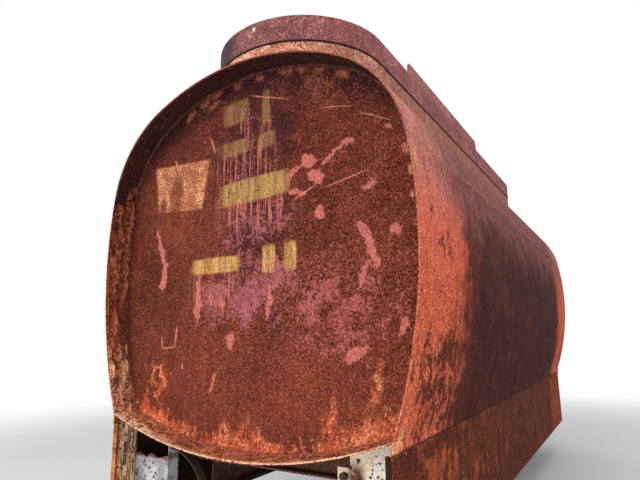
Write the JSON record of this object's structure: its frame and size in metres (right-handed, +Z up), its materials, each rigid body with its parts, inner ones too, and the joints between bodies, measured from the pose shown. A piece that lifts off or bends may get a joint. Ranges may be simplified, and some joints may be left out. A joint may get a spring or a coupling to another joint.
{
  "type": "horizontal fuel storage tank",
  "caption": "Horizontal fuel storage tank of rusted steel plate, with recessed heads, an open coaming on top, side skirts and a low steel stand.",
  "frame": {"origin": "middle of the footprint on the floor", "axes": "+Y along the tank from the pictured front end to the rear, +X to the right seen from the front, +Z up"},
  "size_m": [2.4, 6, 3.882],
  "materials": {
    "head_rust": "rusted matt paint",
    "crown_rust": "rusted matt paint",
    "side_rust": "rusted matt paint",
    "bottom_rust": "rusted matt paint",
    "coaming_wall": "rusted matt paint",
    "coaming_band": "rusted matt paint",
    "guard_plate": "rusted matt paint",
    "manhole_rust": "rusted matt paint",
    "skirt_rust": "rusted matt paint",
    "grey_paint": "rusted matt paint",
    "cream_paint": "rusted matt paint",
    "dark_steel": "rusted matt paint",
    "stand_steel": "rusted matt paint"
  },
  "bodies": {
    "root": {"crown_sheet": "crown_rust", "left_shoulder_sheet": "crown_rust", "right_shoulder_sheet": "crown_rust", "left_side_sheet": "side_rust", "right_side_sheet": "side_rust", "bottom_sheet": "bottom_rust", "front_head": "head_rust", "rear_head": "head_rust", "coaming_front_wall": "coaming_wall", "coaming_rear_wall": "coaming_wall", "coaming_left_wall": "coaming_wall", "coaming_right_wall": "coaming_wall", "coaming_front_band": "coaming_band", "coaming_rear_band": "coaming_band", "coaming_left_band": "coaming_band", "coaming_right_band": "coaming_band", "left_guard_plate": "guard_plate", "right_guard_plate": "guard_plate", "front_manhole_neck": "manhole_rust", "front_manhole_cover": "manhole_rust", "rear_manhole_neck": "manhole_rust", "rear_manhole_cover": "manhole_rust", "left_skirt": "skirt_rust", "right_skirt": "skirt_rust", "front_left_end_plate": "grey_paint", "front_right_end_plate": "cream_paint", "rear_left_end_plate": "cream_paint", "rear_right_end_plate": "cream_paint", "curved_strap": "dark_steel", "round_bar": "dark_steel", "front_stretcher": "stand_steel", "rear_stretcher": "stand_steel", "front_cradle": "stand_steel", "middle_cradle": "stand_steel", "rear_cradle": "stand_steel", "left_bearer": "stand_steel", "right_bearer": "stand_steel", "front_left_leg": "stand_steel", "front_right_leg": "stand_steel", "middle_left_leg": "stand_steel", "middle_right_leg": "stand_steel", "rear_left_leg": "stand_steel", "rear_right_leg": "stand_steel"}
  },
  "joints": []
}
